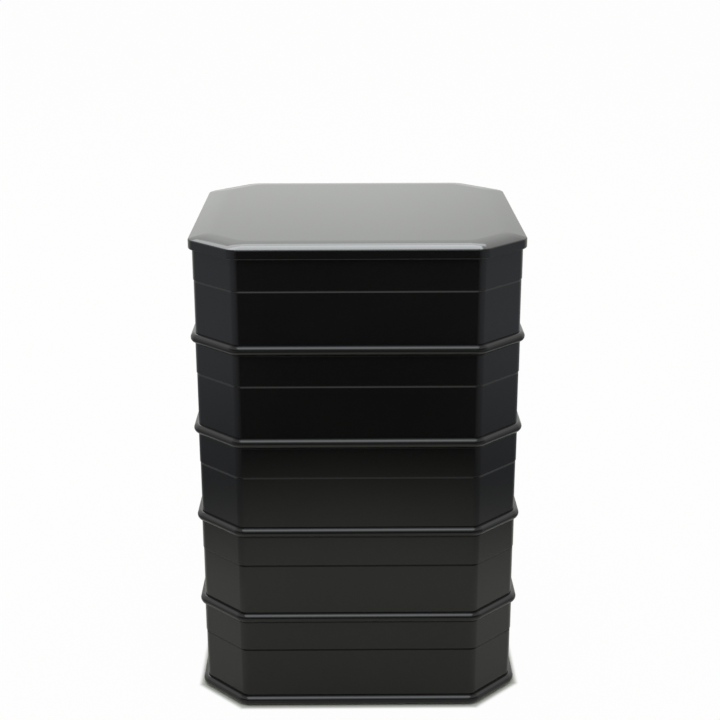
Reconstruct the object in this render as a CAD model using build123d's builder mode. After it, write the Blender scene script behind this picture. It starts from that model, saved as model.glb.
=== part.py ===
from build123d import *
from math import sqrt
import os

# A stack of five cut-corner lacquered boxes with one lid. Lengths are in millimetres.
# Z runs up from the table through the middle of the stack, and the front looks along -Y.
# Every inset is measured inward from the outline of the foot moulding.

# Outline of the stack, seen from above
box_width = 183.0  # flat to flat over the foot moulding
corner_cut = 25.0  # leg of a cut corner on the foot outline
wall_bend = 6.0  # outer bend of the wall where a cut corner meets a side

# Tiers
tier_count = 5
tier_height = 52.7  # base of one tier to the base of the next

# Foot moulding and bottom
foot_overhang = 2.8  # the moulding stands this far past the wall
nose_depth = 1.8  # swell of its rounded nose
panel_thickness = 3.0
panel_ledge = 1.5  # width of the ledge that carries the bottom panel

# Wall boards
wall_thickness = 3.2
lining_thickness = 1.8
glue_line = 0.1  # gap between two boards of one tier
rim_height = 17.2  # the raised rim board, above the line round each tier
rim_proud = 0.3  # it stands this far past the lower wall
rim_ease = 0.3  # eased outer edges of the rim board

# Lip that locates the tier or lid above
lip_height = 2.0  # the lining stands this far above the rim
lip_headroom = 0.8  # space left above the lip
lip_clearance = 0.4  # play round the lip
lip_ease = 0.5  # eased edges of the lip

# Lid
lid_setback = 0.4  # the lid edge lies this far inside the foot outline
lid_edge_height = 5.3  # upright edge, below the crown
lid_edge_ease = 0.8
crown_rise = 2.1
crown_width = 14.0  # the crown falls away over this width round the lid
skirt_width = 3.0  # edge of the board that hangs round the hidden frame

# Outlines of the crown from its edge to its flat: shares of its width, rise and corner bend
crown_width_shares = (0.0, 0.33, 0.67, 1.0)
crown_rise_shares = (0.0, 0.56, 0.89, 1.0)
crown_bend_shares = (1.0, 0.9, 0.85, 0.8)

# Levels and insets that follow
recess_depth = lip_height + lip_headroom
foot_height = recess_depth + panel_thickness
wall_height = tier_height - foot_height
wall_inner_inset = foot_overhang + wall_thickness
lining_outer_inset = wall_inner_inset + glue_line
lining_inner_inset = lining_outer_inset + lining_thickness
recess_inset = lining_outer_inset - lip_clearance
rabbet_inset = recess_inset - panel_ledge
lid_frame_inset = lid_setback + skirt_width + glue_line
lid_level = tier_count * tier_height


def bend(inset):
    """Corner bend at this inset, on the same centre as the bend of the wall."""
    return wall_bend + foot_overhang - inset


def corners(inset):
    """Corners of the cut-corner square at this inset, anticlockwise from the front."""
    side = box_width / 2 - inset
    flat = side - corner_cut + inset * (2 - sqrt(2))
    quarter = ((flat, -side), (side, -flat))
    turned = tuple((-y, x) for x, y in quarter)
    half_round = quarter + turned
    return half_round + tuple((-x, -y) for x, y in half_round)


def outline(level, inset, radius):
    """Flat cut-corner face at this level, with sharp corners where the radius is zero."""
    with BuildSketch(Plane.XY.offset(level)) as face:
        with BuildLine():
            FilletPolyline(*corners(inset), radius=radius, close=True)
        make_face()
    return face.sketch


def profile_plane(loop):
    """Upright plane across the start of a loop: x runs inward and y runs up."""
    along = loop % 0
    return Plane(origin=loop @ 0, x_dir=Vector(0, 0, 1).cross(along), z_dir=along)


def make_foot_rim(base):
    """Round-nosed base moulding, cut out for the lip below and the bottom panel."""
    foot_top = base + foot_height
    with BuildPart() as foot_rim:
        with BuildLine(Plane.XY.offset(base)) as loop:
            FilletPolyline(*corners(0), radius=bend(0), close=True)
        with BuildSketch(profile_plane(loop.wire())):
            with BuildLine():
                Polyline(
                    (nose_depth, 0),
                    (lining_inner_inset, 0),
                    (lining_inner_inset, foot_height),
                    (nose_depth, foot_height),
                )
                ThreePointArc(
                    (nose_depth, foot_height), (0, foot_height / 2), (nose_depth, 0)
                )
            make_face()
        sweep()
        extrude(outline(base, recess_inset, 0), amount=foot_height, mode=Mode.SUBTRACT)
        extrude(outline(foot_top, rabbet_inset, 0), amount=-panel_thickness, mode=Mode.SUBTRACT)
    return foot_rim


def make_bottom_panel(base):
    """Bottom board, let into the rabbet of the foot moulding."""
    with BuildPart() as bottom_panel:
        extrude(
            outline(base + recess_depth, rabbet_inset + glue_line, 0), amount=panel_thickness
        )
    return bottom_panel


def make_side_board(base):
    """Lower wall, bent round outside and mitred inside, standing on the foot moulding."""
    height = wall_height - rim_height
    level = base + foot_height
    with BuildPart() as side_board:
        extrude(outline(level, foot_overhang, bend(foot_overhang)), amount=height)
        extrude(outline(level, wall_inner_inset, 0), amount=height, mode=Mode.SUBTRACT)
    return side_board


def make_rim_board(base):
    """Raised rim board, a little proud of the lower wall, with eased outer edges."""
    level = base + tier_height - rim_height
    inset = foot_overhang - rim_proud
    with BuildPart() as rim_board:
        extrude(outline(level, inset, bend(inset)), amount=rim_height)
        edges = rim_board.edges().group_by(Axis.Z)
        chamfer(edges[0] + edges[-1], rim_ease)
        extrude(outline(level, wall_inner_inset, 0), amount=rim_height, mode=Mode.SUBTRACT)
    return rim_board


def make_inner_lining(base):
    """Inner board, which rises above the rim as the locating lip."""
    level = base + foot_height
    height = wall_height + lip_height
    with BuildPart() as inner_lining:
        extrude(outline(level, lining_outer_inset, 0), amount=height)
        extrude(outline(level, lining_inner_inset, 0), amount=height, mode=Mode.SUBTRACT)
        chamfer(inner_lining.edges().group_by(Axis.Z)[-1], lip_ease)
    return inner_lining


def make_lid_board():
    """Lid board with a crowned border and a turned-down edge round a shallow recess."""
    crown_level = lid_level + lid_edge_height
    with BuildPart() as lid_board:
        extrude(outline(lid_level, lid_setback, bend(lid_setback)), amount=lid_edge_height)
        chamfer(lid_board.edges().group_by(Axis.Z)[0], lid_edge_ease)
        loft(
            [
                outline(
                    crown_level + crown_rise * rise,
                    lid_setback + crown_width * width,
                    bend(lid_setback) * share,
                )
                for width, rise, share in zip(
                    crown_width_shares, crown_rise_shares, crown_bend_shares
                )
            ],
            ruled=True,
        )
        extrude(
            outline(lid_level, lid_setback + skirt_width, 0), amount=recess_depth, mode=Mode.SUBTRACT
        )
    return lid_board


def make_lid_frame():
    """Hidden frame under the lid board, which fits round the lip of the top tier."""
    with BuildPart() as lid_frame:
        extrude(outline(lid_level, lid_frame_inset, 0), amount=recess_depth)
        extrude(outline(lid_level, recess_inset, 0), amount=recess_depth, mode=Mode.SUBTRACT)
    return lid_frame


def save(piece, name):
    """Label a finished piece and write it."""
    piece.part.label = name
    export_step(piece.part, f"parts/{name}.step")


os.makedirs("parts", exist_ok=True)

for tier in range(tier_count):
    base = tier * tier_height
    save(make_foot_rim(base), f"tier_{tier + 1}_foot_rim")
    save(make_bottom_panel(base), f"tier_{tier + 1}_bottom_panel")
    save(make_side_board(base), f"tier_{tier + 1}_side_board")
    save(make_rim_board(base), f"tier_{tier + 1}_rim_board")
    save(make_inner_lining(base), f"tier_{tier + 1}_inner_lining")

save(make_lid_board(), "lid_board")
save(make_lid_frame(), "lid_frame")
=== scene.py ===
import bmesh
import bpy
from math import cos, pi, radians, sin, sqrt, tan
from mathutils import Matrix, Vector


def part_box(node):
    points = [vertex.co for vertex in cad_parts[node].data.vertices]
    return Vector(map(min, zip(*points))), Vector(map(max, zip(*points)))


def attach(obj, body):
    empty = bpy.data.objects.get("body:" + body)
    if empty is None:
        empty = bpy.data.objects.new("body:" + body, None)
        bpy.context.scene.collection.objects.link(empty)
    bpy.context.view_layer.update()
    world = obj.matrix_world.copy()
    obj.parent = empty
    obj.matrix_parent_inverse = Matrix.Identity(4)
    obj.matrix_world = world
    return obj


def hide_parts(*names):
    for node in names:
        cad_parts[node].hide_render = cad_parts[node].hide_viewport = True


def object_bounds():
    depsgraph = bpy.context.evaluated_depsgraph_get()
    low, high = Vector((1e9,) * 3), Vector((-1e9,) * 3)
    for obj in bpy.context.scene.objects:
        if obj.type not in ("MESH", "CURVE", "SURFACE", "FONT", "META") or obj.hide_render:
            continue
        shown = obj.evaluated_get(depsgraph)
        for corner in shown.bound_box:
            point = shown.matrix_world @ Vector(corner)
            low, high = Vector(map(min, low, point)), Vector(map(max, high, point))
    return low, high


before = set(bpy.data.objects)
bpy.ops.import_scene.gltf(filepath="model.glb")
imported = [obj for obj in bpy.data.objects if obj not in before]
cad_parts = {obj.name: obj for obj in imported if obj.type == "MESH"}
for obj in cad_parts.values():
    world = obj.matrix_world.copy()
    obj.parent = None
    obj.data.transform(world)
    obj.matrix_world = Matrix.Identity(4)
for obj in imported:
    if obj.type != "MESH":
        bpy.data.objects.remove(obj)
cadLow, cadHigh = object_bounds()
print("packed model loaded:", len(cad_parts), "nodes")

mm = 0.001  # lengths are in metres
hair = 0.002 * mm  # places nearer than this are the same place
halfTurn = pi / 8  # half the turn at each of the eight corners
wallSlope = 0.9  # a face whose normal climbs less than this is part of a wall
smoothBelow = radians(32)
tierCount = 5
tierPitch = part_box("tier_2_foot_rim")[0].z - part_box("tier_1_foot_rim")[0].z

# The stack from above. Every inset is measured inward from the foot outline.
outline = {
    "halfWidth": cadHigh.x,
    "cornerCut": 25.0 * mm,  # leg of a cut corner
    "footBend": 8.8 * mm,  # bend where a cut corner meets a side
    "bendSteps": 10,
}


# Selecting and rounding

def makeActive(piece):
    bpy.ops.object.select_all(action="DESELECT")
    piece.select_set(True)
    bpy.context.view_layer.objects.active = piece


def pick(piece, kind, wanted):
    # kind is EDGE or FACE
    bpy.ops.mesh.select_mode(type=kind)
    bpy.ops.mesh.select_all(action="DESELECT")
    mesh = bmesh.from_edit_mesh(piece.data)
    for part in mesh.edges if kind == "EDGE" else mesh.faces:
        if wanted(part):
            part.select_set(True)
    bmesh.update_edit_mesh(piece.data)


def rising(edge):
    return abs(edge.verts[0].co.z - edge.verts[1].co.z) > hair


def level(*heights):
    # edges or faces that lie flat at one of these heights
    return lambda part: any(
        all(abs(corner.co.z - height) < hair for corner in part.verts) for height in heights)


def arris(height):
    # edges at this height where a flat end meets a wall
    return lambda edge: level(height)(edge) and any(
        abs(face.normal.z) < wallSlope for face in edge.link_faces)


def rounded(size, steps):
    bpy.ops.mesh.bevel(
        offset=size, segments=steps, profile=0.5, affect="EDGES", clamp_overlap=False)


# Boards with cut and bent corners

def cutCornerBlock(name, node):
    low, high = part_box(node)
    inset = outline["halfWidth"] - high.x
    bpy.ops.mesh.primitive_cube_add(size=1, location=(low + high) / 2, scale=high - low)
    block = bpy.context.object
    block.name = block.data.name = name
    makeActive(block)
    bpy.ops.object.transform_apply(location=True, rotation=True, scale=True)
    bpy.ops.object.mode_set(mode="EDIT")
    pick(block, "EDGE", rising)
    bpy.ops.mesh.bevel(
        offset=outline["cornerCut"] - inset * (2 - sqrt(2)), segments=1, affect="EDGES")
    return block, low.z, high.z


def bendCorners(block):
    # rounds every edge that climbs, which are the ones that run up the eight corners
    pick(block, "EDGE", rising)
    corners = bmesh.from_edit_mesh(block.data).verts
    inset = outline["halfWidth"] - max(corner.co.x for corner in corners)
    rounded((outline["footBend"] - inset) * tan(halfTurn), outline["bendSteps"])


def bentBlock(name, node):
    block, low, high = cutCornerBlock(name, node)
    bendCorners(block)
    return block, low, high


def openMiddle(block):
    # joins the two flat ends, the only faces that are not quads
    pick(block, "FACE", lambda face: len(face.verts) > 4)
    bpy.ops.mesh.bridge_edge_loops()


def openRing(block, low, lowWidth, high, highWidth):
    # takes the middle out and leaves flat ends of these widths
    for height, width in ((low, lowWidth), (high, highWidth)):
        pick(block, "FACE", level(height))
        bpy.ops.mesh.inset(thickness=width)
    openMiddle(block)


def smoothed(piece, material):
    bpy.ops.mesh.select_all(action="DESELECT")
    bpy.ops.object.mode_set(mode="OBJECT")
    bpy.ops.object.shade_smooth_by_angle(angle=smoothBelow)
    evenFlats = piece.modifiers.new("evenFlats", "WEIGHTED_NORMAL")
    evenFlats.keep_sharp = True
    bpy.ops.object.modifier_apply(modifier=evenFlats.name)
    piece.data.materials.clear()
    piece.data.materials.append(material)


def seat(piece, body, node):
    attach(piece, body)
    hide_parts(node)


def seatOnTiers(model, nodeEnding):
    # the same board on every tier, each with its own mesh
    for tier in range(1, tierCount + 1):
        makeActive(model)
        bpy.ops.object.duplicate(linked=False)
        board = bpy.context.object
        board.name = board.data.name = f"{model.name}_{tier}"
        bpy.ops.transform.translate(value=(0, 0, (tier - 1) * tierPitch))
        bpy.ops.object.transform_apply(location=True, rotation=True, scale=True)
        seat(board, f"tier_{tier}", f"tier_{tier}_{nodeEnding}")
    bpy.data.objects.remove(model)


# Node helpers

def newMaterial(name):
    material = bpy.data.materials.new(name)
    material.use_nodes = True
    return material, material.node_tree


def addNode(tree, kind, **settings):
    node = tree.nodes.new(kind)
    for name, value in settings.items():
        if hasattr(node, name):
            setattr(node, name, value)
        else:
            node.inputs[name.replace("_", " ")].default_value = value
    return node


def feed(tree, socket, given):
    # links what another node gives, and sets anything else as a plain value
    if isinstance(given, bpy.types.NodeSocket):
        tree.links.new(given, socket)
    else:
        socket.default_value = given


def reckoned(tree, operation, *given):
    node = addNode(tree, "ShaderNodeMath", operation=operation)
    for socket, value in zip(node.inputs, given):
        feed(tree, socket, value)
    return node.outputs[0]


def ranged(tree, source, fromSpan, toSpan=(0, 1)):
    node = addNode(tree, "ShaderNodeMapRange", interpolation_type="SMOOTHSTEP")
    node.inputs["From Min"].default_value, node.inputs["From Max"].default_value = fromSpan
    node.inputs["To Min"].default_value, node.inputs["To Max"].default_value = toSpan
    tree.links.new(source, node.inputs["Value"])
    return node.outputs["Result"]


def axes(tree, source):
    split = addNode(tree, "ShaderNodeSeparateXYZ")
    tree.links.new(source, split.inputs[0])
    return split.outputs


def noise(tree, place, scale, pattern):
    node = addNode(tree, "ShaderNodeTexNoise", **pattern)
    tree.links.new(place, node.inputs["Vector"])
    feed(tree, node.inputs["Scale"], scale)
    return node.outputs["Fac"]


def mixedColor(tree, share, first, second):
    # a color mix takes its colors at inputs 6 and 7 and gives its result at output 2
    node = addNode(tree, "ShaderNodeMix", data_type="RGBA")
    for socket, value in (("Factor", share), (6, first), (7, second)):
        feed(tree, node.inputs[socket], value)
    return node.outputs[2]


def mixSurface(tree, share, first, second):
    both = addNode(tree, "ShaderNodeMixShader")
    for socket, source in zip(both.inputs, (share, first, second)):
        tree.links.new(source, socket)
    tree.links.new(both.outputs[0], tree.nodes["Material Output"].inputs["Surface"])


# Lacquer

lacquerPattern = {
    "cloud": {"Detail": 3.0, "Roughness": 0.55},
    "rub": {"Detail": 2.0, "Roughness": 0.6},
    "rubScale": 1.0,
    "rubStretch": (14, 14, 900),  # rubbed along the boards
    "wave": {"Detail": 1.0, "Roughness": 0.4},
    "waveScale": 17.0,
    "nibScale": 95.0,
    "nibSpan": (0.085, 0.02),  # from the foot of a nib to its top
}


def makeLacquerGroup():
    # clouding from the polish, faint rubbing marks, slow waves of the ground and a few dust nibs
    pattern = lacquerPattern
    group = bpy.data.node_groups.new("lacquerFinish", "ShaderNodeTree")
    sockets = (
        ("INPUT", "NodeSocketFloat", (
            "Cloud Scale", "Cloud", "Rub", "Wave Height", "Nib Height", "Gloss", "Haze")),
        ("INPUT", "NodeSocketColor", ("Deep Color", "Thin Color")),
        ("OUTPUT", "NodeSocketColor", ("Color",)),
        ("OUTPUT", "NodeSocketFloat", ("Roughness", "Height")),
    )
    for way, kind, names in sockets:
        for name in names:
            group.interface.new_socket(name, in_out=way, socket_type=kind)
    link = group.links.new
    given = addNode(group, "NodeGroupInput").outputs
    result = addNode(group, "NodeGroupOutput").inputs
    place = addNode(group, "ShaderNodeTexCoord").outputs["Object"]

    cloud = noise(group, place, given["Cloud Scale"], pattern["cloud"])
    along = addNode(group, "ShaderNodeMapping", Scale=pattern["rubStretch"])
    link(place, along.inputs["Vector"])
    rub = noise(group, along.outputs["Vector"], pattern["rubScale"], pattern["rub"])
    wave = noise(group, place, pattern["waveScale"], pattern["wave"])
    nib = addNode(group, "ShaderNodeTexVoronoi", Scale=pattern["nibScale"])
    link(place, nib.inputs["Vector"])
    nibMask = ranged(group, nib.outputs["Distance"], pattern["nibSpan"])

    waveHeight = reckoned(group, "MULTIPLY", wave, given["Wave Height"])
    height = reckoned(group, "MULTIPLY_ADD", nibMask, given["Nib Height"], waveHeight)
    cloudShare = reckoned(group, "MULTIPLY", cloud, given["Cloud"])
    bothShares = reckoned(group, "MULTIPLY_ADD", rub, given["Rub"], cloudShare)
    roughness = reckoned(group, "MULTIPLY_ADD", bothShares, given["Haze"], given["Gloss"])
    link(height, result["Height"])
    link(roughness, result["Roughness"])
    link(mixedColor(group, cloud, given["Deep Color"], given["Thin Color"]), result["Color"])
    return group


def makeLacquer(name, group, look):
    material, tree = newMaterial(name)
    shader = tree.nodes["Principled BSDF"]
    shader.inputs["IOR"].default_value = look["ior"]
    finish = addNode(tree, "ShaderNodeGroup", node_tree=group)
    for socket, value in look["finish"].items():
        finish.inputs[socket].default_value = value
    relief = addNode(tree, "ShaderNodeBump", Distance=1.0)  # heights are in metres
    tree.links.new(finish.outputs["Color"], shader.inputs["Base Color"])
    tree.links.new(finish.outputs["Roughness"], shader.inputs["Roughness"])
    tree.links.new(finish.outputs["Height"], relief.inputs["Height"])
    tree.links.new(relief.outputs["Normal"], shader.inputs["Normal"])
    return material


outerLook = {
    "ior": 1.5,
    "finish": {
        "Cloud Scale": 26.0,
        "Cloud": 0.6,
        "Rub": 0.4,
        "Wave Height": 0.02 * mm,
        "Nib Height": 0.004 * mm,
        "Gloss": 0.05,
        "Haze": 0.04,
        "Deep Color": (0.0050, 0.0048, 0.0050, 1),
        "Thin Color": (0.0085, 0.0075, 0.0072, 1),
    },
}
innerLook = {
    "ior": 1.48,
    "finish": {
        "Cloud Scale": 34.0,
        "Cloud": 0.7,
        "Rub": 0.3,
        "Wave Height": 0.025 * mm,
        "Nib Height": 0.004 * mm,
        "Gloss": 0.09,
        "Haze": 0.06,
        "Deep Color": (0.0055, 0.0050, 0.0050, 1),
        "Thin Color": (0.0100, 0.0082, 0.0075, 1),
    },
}
lacquerGroup = makeLacquerGroup()
outerLacquer = makeLacquer("outerLacquer", lacquerGroup, outerLook)
innerLacquer = makeLacquer("innerLacquer", lacquerGroup, innerLook)
print("lacquer mixed")


# Foot moulding: a half-round nose, a recess below for the lip and a rebate above for the bottom

footMoulding = {
    "seamHeight": 0.5 * mm,  # narrow shadow line under the nose
    "flatNose": 0.1 * mm,  # flat left between the two rounded halves of the nose
    "noseSteps": 9,
    "recessInset": 5.7 * mm,
    "rebateInset": 4.2 * mm,
    "recessDepth": 2.8 * mm,
}


def makeFootMoulding():
    size = footMoulding
    block, low, high = bentBlock("footMoulding", "tier_1_foot_rim")
    seam = low + size["seamHeight"]
    nose = (high - seam - size["flatNose"]) / 2
    pick(block, "FACE", level(low))
    bpy.ops.transform.translate(value=(0, 0, size["seamHeight"]))
    pick(block, "EDGE", level(seam, high))
    rounded(nose, size["noseSteps"])
    pick(block, "FACE", level(high))
    bpy.ops.mesh.inset(thickness=size["rebateInset"] - nose)
    bpy.ops.mesh.extrude_region_move(
        TRANSFORM_OT_translate={"value": (0, 0, low + size["recessDepth"] - high)})
    bpy.ops.mesh.inset(thickness=size["recessInset"] - size["rebateInset"])
    pick(block, "FACE", level(seam))
    bpy.ops.mesh.extrude_region_move(
        TRANSFORM_OT_translate={"value": (0, 0, -size["seamHeight"])})
    bpy.ops.mesh.inset(thickness=size["recessInset"] - nose)
    openMiddle(block)
    smoothed(block, outerLacquer)
    return block


seatOnTiers(makeFootMoulding(), "foot_rim")
print("foot mouldings made")


# Bottom panel, let into the rebate of the moulding

bottomPanel = {"arris": 0.15 * mm, "arrisSteps": 2}


def makeBottomPanel():
    block, low, high = bentBlock("bottomPanel", "tier_1_bottom_panel")
    pick(block, "EDGE", level(low, high))
    rounded(bottomPanel["arris"], bottomPanel["arrisSteps"])
    smoothed(block, innerLacquer)
    return block


seatOnTiers(makeBottomPanel(), "bottom_panel")
print("bottom panels made")


# Lower wall

sideBoard = {
    "thickness": 3.2 * mm,
    "lowArris": 0.12 * mm,
    "easeHeight": 1.0 * mm,  # the top edge is planed back under the rim
    "easeDepth": 0.46 * mm,
    "easeArris": 0.1 * mm,
    "arrisSteps": 2,
}


def makeSideBoard():
    size = sideBoard
    block, low, high = bentBlock("sideBoard", "tier_1_side_board")
    pick(block, "FACE", level(high))
    bpy.ops.transform.translate(value=(0, 0, -size["easeHeight"]))
    bpy.ops.mesh.inset(thickness=size["easeDepth"])
    bpy.ops.transform.translate(value=(0, 0, size["easeHeight"]))
    pick(block, "EDGE", level(high - size["easeHeight"]))
    rounded(size["easeArris"], size["arrisSteps"])
    pick(block, "EDGE", level(low))
    rounded(size["lowArris"], size["arrisSteps"])
    openRing(
        block, low, size["thickness"] - size["lowArris"],
        high, size["thickness"] - size["easeDepth"])
    smoothed(block, outerLacquer)
    return block


seatOnTiers(makeSideBoard(), "side_board")
print("lower walls made")


# Raised rim, which stands proud of the lower wall and makes the line round each tier

rimBoard = {
    "thickness": 3.5 * mm,
    "lowArris": 0.3 * mm,
    "topArris": 0.4 * mm,
    "arrisSteps": 4,
}


def makeRimBoard():
    size = rimBoard
    block, low, high = bentBlock("rimBoard", "tier_1_rim_board")
    for height, arrisSize in ((low, size["lowArris"]), (high, size["topArris"])):
        pick(block, "EDGE", level(height))
        rounded(arrisSize, size["arrisSteps"])
    openRing(
        block, low, size["thickness"] - size["lowArris"],
        high, size["thickness"] - size["topArris"])
    smoothed(block, outerLacquer)
    return block


seatOnTiers(makeRimBoard(), "rim_board")
print("rims made")


# Inner lining, which rises above the rim as the lip

innerLining = {"thickness": 1.8 * mm, "lipRound": 0.7 * mm, "lipSteps": 4}


def makeInnerLining():
    size = innerLining
    block, low, high = bentBlock("innerLining", "tier_1_inner_lining")
    openRing(block, low, size["thickness"], high, size["thickness"])
    pick(block, "EDGE", arris(high))
    rounded(size["lipRound"], size["lipSteps"])
    smoothed(block, innerLacquer)
    return block


seatOnTiers(makeInnerLining(), "inner_lining")
print("linings made")


# Lid: a crowned board with a turned-down edge, and the hidden frame that sits round the lip

lidBoard = {
    "crownWidth": 14.0 * mm,
    "crownRise": 2.1 * mm,
    "crownSteps": 14,
    "edgeRound": 0.5 * mm,  # where the crown meets the upright edge
    "edgeSteps": 5,
    "lowRound": 0.8 * mm,
    "skirtWidth": 3.0 * mm,
    "recessDepth": 2.8 * mm,
}


def makeLidBoard():
    size = lidBoard
    block, low, high = cutCornerBlock("lidBoard", "lid_board")
    shoulder = high - size["crownRise"]
    pick(block, "FACE", level(high))
    bpy.ops.transform.translate(value=(0, 0, -size["crownRise"]))
    for step in range(size["crownSteps"]):
        left = 1 - step / size["crownSteps"]
        leftAfter = left - 1 / size["crownSteps"]
        bpy.ops.mesh.inset(thickness=size["crownWidth"] / size["crownSteps"])
        bpy.ops.transform.translate(
            value=(0, 0, size["crownRise"] * (left**2 - leftAfter**2)))
    bendCorners(block)
    for height, roundSize in ((low, size["lowRound"]), (shoulder, size["edgeRound"])):
        pick(block, "EDGE", level(height))
        rounded(roundSize, size["edgeSteps"])
    pick(block, "FACE", level(low))
    bpy.ops.mesh.inset(thickness=size["skirtWidth"] - size["lowRound"])
    bpy.ops.mesh.extrude_region_move(
        TRANSFORM_OT_translate={"value": (0, 0, size["recessDepth"])})
    smoothed(block, outerLacquer)
    return block


lidFrame = {"width": 2.2 * mm}


def makeLidFrame():
    block, low, high = bentBlock("lidFrame", "lid_frame")
    openRing(block, low, lidFrame["width"], high, lidFrame["width"])
    smoothed(block, innerLacquer)
    return block


seat(makeLidBoard(), "lid", "lid_board")
seat(makeLidFrame(), "lid", "lid_frame")
print("lid made")


# Camera where the photograph was taken from. Its turns are in radians.

view = {
    "place": (-4.1 * mm, -805.3 * mm, 440.2 * mm),
    "tiltDown": 0.3129,
    "turn": 0.0071,
    "roll": -0.0019,
    "lens": 70.83,
    "sensor": 36,
    "clip": (0.01, 100),
}
aimed = (
    Matrix.Rotation(-view["turn"], 3, "Z")
    @ Matrix.Rotation(pi / 2 - view["tiltDown"], 3, "X")
    @ Matrix.Rotation(view["roll"], 3, "Z"))
bpy.ops.object.camera_add(location=view["place"], rotation=aimed.to_euler())
camera = bpy.context.object
camera.name = "photoCamera"
camera.data.lens = view["lens"]
camera.data.sensor_width = view["sensor"]
camera.data.clip_start, camera.data.clip_end = view["clip"]
bpy.context.scene.camera = camera
print("camera placed")


# Pale floor that shows plain white to the camera, but for the shadow close to the foot

studioFloor = {
    "width": 30,
    "color": (0.53, 0.53, 0.475, 1),
    "roughness": 0.8,
    "specular": 0.1,
    "cameraGlow": 0.97,  # share of the floor that shows plain white
    "mirrorGlow": 0.05,  # the same share where the lacquer mirrors the floor
    "contactGlow": 0.0,  # the plain share close to the foot, where its shadow stays
    "contactReach": 3.4 * mm,
}


def pastFoot(tree):
    # how far a place on the floor lies outside the foot of the stack
    diagonal = sqrt(0.5)
    place = addNode(tree, "ShaderNodeTexCoord")
    folded = addNode(tree, "ShaderNodeVectorMath", operation="ABSOLUTE")
    tree.links.new(place.outputs["Object"], folded.inputs[0])
    along = axes(tree, folded.outputs["Vector"])
    widest = reckoned(tree, "MAXIMUM", along["X"], along["Y"])
    pastSide = reckoned(tree, "SUBTRACT", widest, outline["halfWidth"])
    both = reckoned(tree, "ADD", along["X"], along["Y"])
    pastCorner = reckoned(
        tree, "MULTIPLY_ADD", both, diagonal,
        (outline["cornerCut"] - 2 * outline["halfWidth"]) * diagonal)
    return reckoned(tree, "MAXIMUM", pastSide, pastCorner)


def makeFloor():
    look = studioFloor
    bpy.ops.mesh.primitive_plane_add(size=look["width"], location=(0, 0, 0))
    floor = bpy.context.object
    floor.name = "studioFloor"
    material, tree = newMaterial("palePaper")
    shader = tree.nodes["Principled BSDF"]
    shader.inputs["Roughness"].default_value = look["roughness"]
    shader.inputs["Specular IOR Level"].default_value = look["specular"]
    shader.inputs["Base Color"].default_value = look["color"]
    glow = addNode(tree, "ShaderNodeEmission", Strength=1.0)
    ray = addNode(tree, "ShaderNodeLightPath").outputs
    plainShare = ranged(
        tree, pastFoot(tree), (0, look["contactReach"]), (look["contactGlow"], look["cameraGlow"]))
    mirrored = reckoned(tree, "MAXIMUM", ray["Is Glossy Ray"], ray["Is Transmission Ray"])
    mirrorShare = reckoned(tree, "MULTIPLY", mirrored, look["mirrorGlow"])
    share = reckoned(tree, "MULTIPLY_ADD", ray["Is Camera Ray"], plainShare, mirrorShare)
    mixSurface(tree, share, shader.outputs["BSDF"], glow.outputs["Emission"])
    floor.data.materials.append(material)


# Painted reflection: a faintly glowing dark sheet over the floor in front and at the sides, which
# only the reflections see. It paints a darker room in front and a paler one at the sides into the
# mirrored lacquer.

paintedReflectionSheet = {
    "width": 5.0,
    "lift": 1.0 * mm,
    "clearTo": 0.24,  # no painted reflection this near to the middle of the stack
    "fullFrom": 0.52,
    "sideStretch": 1.25,  # the painted reflection comes nearer at the sides by this factor
    "backEdge": (0.7, 0.35),  # it fades out behind the stack between these places
    "frontStrength": 0.045,
    "sideStrength": 0.45,
    "tint": (0.86, 0.91, 1.0, 1),
    "nearShare": 0.32,  # share of the painted tone where the sheet begins
    "palerTo": 1.1,
    "frontShare": 0.1,  # sideways share of a place, where the front tone starts to turn paler
}


def makePaintedReflectionSheet():
    look = paintedReflectionSheet
    bpy.ops.mesh.primitive_plane_add(size=look["width"], location=(0, 0, look["lift"]))
    bpy.ops.object.transform_apply(location=True, rotation=True, scale=True)
    reflectionSheet = bpy.context.object
    reflectionSheet.name = "paintedReflectionSheet"
    material, tree = newMaterial("paintedReflectionSheet")
    tree.nodes.remove(tree.nodes["Principled BSDF"])
    place = addNode(tree, "ShaderNodeTexCoord")
    stretched = addNode(tree, "ShaderNodeVectorMath", operation="MULTIPLY")
    stretched.inputs[1].default_value = (look["sideStretch"], 1, 0)
    reach = addNode(tree, "ShaderNodeVectorMath", operation="LENGTH")
    tree.links.new(place.outputs["Object"], stretched.inputs[0])
    tree.links.new(stretched.outputs["Vector"], reach.inputs[0])
    distance = reach.outputs["Value"]
    along = axes(tree, stretched.outputs["Vector"])
    sideShare = reckoned(tree, "DIVIDE", reckoned(tree, "ABSOLUTE", along["X"]), distance)
    cover = reckoned(
        tree, "MULTIPLY",
        ranged(tree, distance, (look["clearTo"], look["fullFrom"])),
        ranged(tree, along["Y"], look["backEdge"]))
    strength = reckoned(
        tree, "MULTIPLY",
        ranged(
            tree, sideShare, (look["frontShare"], 1),
            (look["frontStrength"], look["sideStrength"])),
        ranged(tree, distance, (look["clearTo"], look["palerTo"]), (look["nearShare"], 1)))
    clear = addNode(tree, "ShaderNodeBsdfTransparent")
    # the glow of this sheet is a painted reflection: dark in front, paler at the sides and further
    # out
    dark = addNode(tree, "ShaderNodeEmission", Color=look["tint"])
    tree.links.new(strength, dark.inputs["Strength"])
    mixSurface(tree, cover, clear.outputs[0], dark.outputs[0])
    reflectionSheet.data.materials.append(material)
    reflectionSheet.visible_camera = reflectionSheet.visible_diffuse = reflectionSheet.visible_shadow = False


# Brightness of the room by height: degrees above the horizon, and how bright it is there

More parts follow.
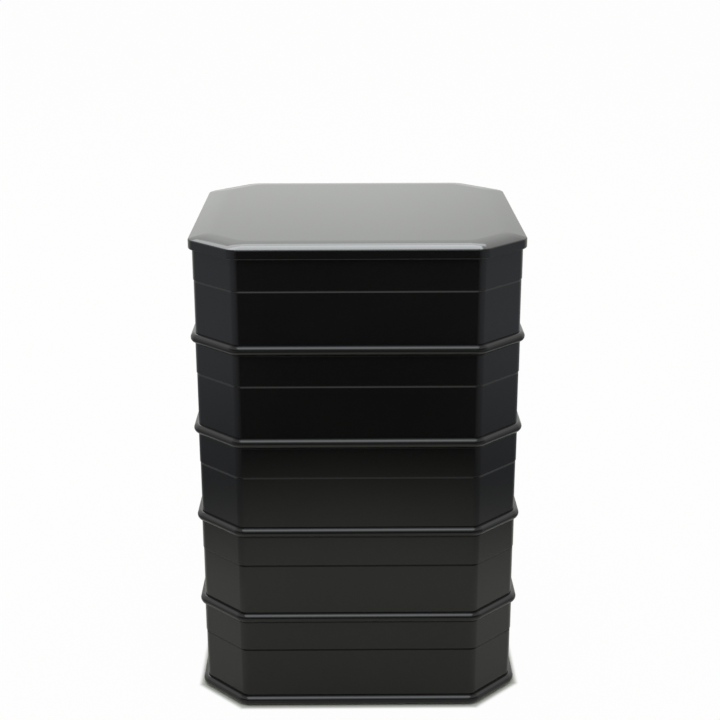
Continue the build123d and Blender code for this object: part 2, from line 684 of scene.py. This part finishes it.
room = {
    "back": ((0, 1.2), (16, 1.25), (23, 1.55), (29, 1.7), (48, 1.5), (58, 0.9), (90, 0.9)),
    "front": ((0, 0.10), (22, 0.15), (29, 0.80), (35, 1.2), (50, 1.1), (68, 1.0), (90, 1.0)),
    "middle": -0.05,  # the sideways place where the room is brightest
    "sideFade": (0.05, 0.35),
    "sideShare": (1, 0.65),
    "turnsAt": (-0.75, 0.35),  # from front to back along Y
    "top": 1.75,  # brightness that a full ramp stands for
    "tint": (0.98, 1.0, 0.975),
    "backdrop": (0.572, 0.572, 0.572, 1),  # plain white to the camera once the strength is on it
}


def heightRamp(tree, height, stops):
    ramp = addNode(tree, "ShaderNodeValToRGB")
    marks = ramp.color_ramp.elements
    for index, (degrees, bright) in enumerate(stops):
        mark = marks[index] if index < len(marks) else marks.new(1)
        mark.position = sin(radians(degrees))
        share = bright / room["top"]
        mark.color = tuple(share * tint for tint in room["tint"]) + (1,)
    tree.links.new(height, ramp.inputs["Fac"])
    return ramp.outputs["Color"]


def makeRoom():
    world = bpy.data.worlds.new("studioRoom")
    bpy.context.scene.world = world
    world.use_nodes = True
    tree = world.node_tree
    background = tree.nodes["Background"]
    background.inputs["Strength"].default_value = room["top"]
    toward = axes(tree, addNode(tree, "ShaderNodeTexCoord").outputs["Generated"])
    tone = mixedColor(
        tree, ranged(tree, toward["Y"], room["turnsAt"]),
        heightRamp(tree, toward["Z"], room["front"]),
        heightRamp(tree, toward["Z"], room["back"]))
    sideways = reckoned(tree, "SUBTRACT", toward["X"], room["middle"])
    away = reckoned(tree, "ABSOLUTE", sideways)
    faded = addNode(tree, "ShaderNodeVectorMath", operation="SCALE")
    tree.links.new(tone, faded.inputs[0])
    tree.links.new(ranged(tree, away, room["sideFade"], room["sideShare"]), faded.inputs["Scale"])
    ray = addNode(tree, "ShaderNodeLightPath")
    plain = mixedColor(
        tree, ray.outputs["Is Camera Ray"], faded.outputs["Vector"], room["backdrop"])
    tree.links.new(plain, background.inputs["Color"])


# Soft lamps. Azimuth 0 is straight behind the stack and 90 to its right. Angles are in degrees.

softboxes = {
    "backSoftboxLow": {
        "azimuth": (-28, 15), "elevation": (29.5, 36), "distance": 2.2,
        "radiance": 1.5, "color": (0.92, 0.96, 1.0)},
    "backSoftboxHigh": {
        "azimuth": (-28, 15), "elevation": (36, 50), "distance": 2.2,
        "radiance": 3.1, "color": (0.92, 0.96, 1.0)},
    "frontSoftbox": {
        "azimuth": (136, 224), "elevation": (44, 86), "distance": 2.0,
        "radiance": 2.3, "color": (0.86, 0.94, 1.0)},
}
softboxAim = Vector((0, 0, cadHigh.z))


def middleAndHalf(span):
    # in radians
    return radians(sum(span) / 2), radians(span[1] - span[0]) / 2


def makeSoftbox(name, lamp):
    turn, halfWide = middleAndHalf(lamp["azimuth"])
    climb, halfTall = middleAndHalf(lamp["elevation"])
    toward = Vector((sin(turn) * cos(climb), cos(turn) * cos(climb), sin(climb)))
    width = 2 * lamp["distance"] * cos(climb) * tan(halfWide)
    height = 2 * lamp["distance"] * tan(halfTall)
    bpy.ops.object.light_add(type="AREA", location=softboxAim + toward * lamp["distance"])
    light = bpy.context.object
    light.name = name
    light.rotation_euler = toward.to_track_quat("Z", "Y").to_euler()
    light.data.shape = "RECTANGLE"
    light.data.size = width
    light.data.size_y = height
    light.data.energy = pi * width * height * lamp["radiance"]
    light.data.color = lamp["color"]
    light.visible_camera = False


makeFloor()
makePaintedReflectionSheet()
makeRoom()
for name, lamp in softboxes.items():
    makeSoftbox(name, lamp)
bpy.context.scene.view_settings.view_transform = "Standard"
print("studio set")
